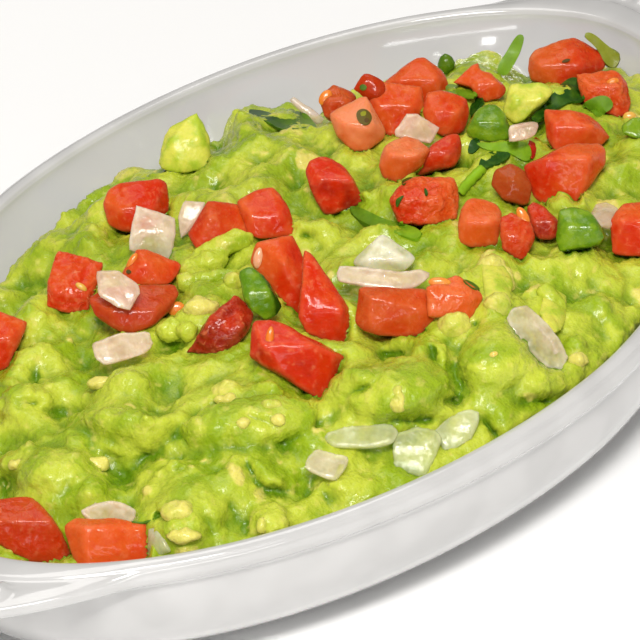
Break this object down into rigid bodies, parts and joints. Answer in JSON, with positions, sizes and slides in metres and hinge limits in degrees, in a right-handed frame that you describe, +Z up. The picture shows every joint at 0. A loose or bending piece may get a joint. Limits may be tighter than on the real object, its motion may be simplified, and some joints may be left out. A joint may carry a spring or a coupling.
{
  "type": "guacamole",
  "caption": "Chunky mashed avocado dip heaped in an oval eared white dish, topped with chopped tomato, onion, green pepper and herbs.",
  "frame": {"origin": "middle of the dish's underside, on the surface it stands on", "axes": "+X along the dish's long axis towards one ear, +Y across the dish, +Z up"},
  "size_m": [0.214, 0.127, 0.0408],
  "materials": {
    "porcelain": "glossy white glaze",
    "mashed_avocado": "moist, coarsely mashed",
    "tomato": "wet cut flesh and glossy skin",
    "onion": "moist and slightly see-through",
    "green_pepper": "moist, with a darker skin",
    "avocado_chunk": "moist unmashed flesh",
    "coriander_leaf": "thin wet leaf and stem",
    "seed": "wet"
  },
  "bodies": {
    "root": {"dish": "porcelain", "guacamole": "mashed_avocado", "tomato_01": "tomato", "tomato_02": "tomato", "tomato_03": "tomato", "tomato_04": "tomato", "tomato_05": "tomato", "tomato_06": "tomato", "tomato_07": "tomato", "tomato_08": "tomato", "tomato_09": "tomato", "tomato_10": "tomato", "tomato_11": "tomato", "tomato_12": "tomato", "tomato_13": "tomato", "tomato_14": "tomato", "tomato_15": "tomato", "tomato_16": "tomato", "tomato_17": "tomato", "tomato_18": "tomato", "tomato_19": "tomato", "tomato_20": "tomato", "tomato_21": "tomato", "tomato_22": "tomato", "tomato_23": "tomato", "tomato_24": "tomato", "tomato_25": "tomato", "tomato_26": "tomato", "tomato_27": "tomato", "tomato_28": "tomato", "tomato_29": "tomato", "tomato_30": "tomato", "tomato_31": "tomato", "tomato_32": "tomato", "tomato_33": "tomato", "tomato_34": "tomato", "tomato_35": "tomato", "tomato_36": "tomato", "tomato_37": "tomato", "onion_01": "onion", "onion_02": "onion", "onion_03": "onion", "onion_04": "onion", "onion_05": "onion", "onion_06": "onion", "onion_07": "onion", "onion_08": "onion", "onion_09": "onion", "onion_10": "onion", "onion_11": "onion", "onion_12": "onion", "onion_13": "onion", "onion_14": "onion", "pepper_01": "green_pepper", "pepper_02": "green_pepper", "pepper_03": "green_pepper", "pepper_04": "green_pepper", "avocado_01": "avocado_chunk", "avocado_02": "avocado_chunk"}
  },
  "joints": []
}
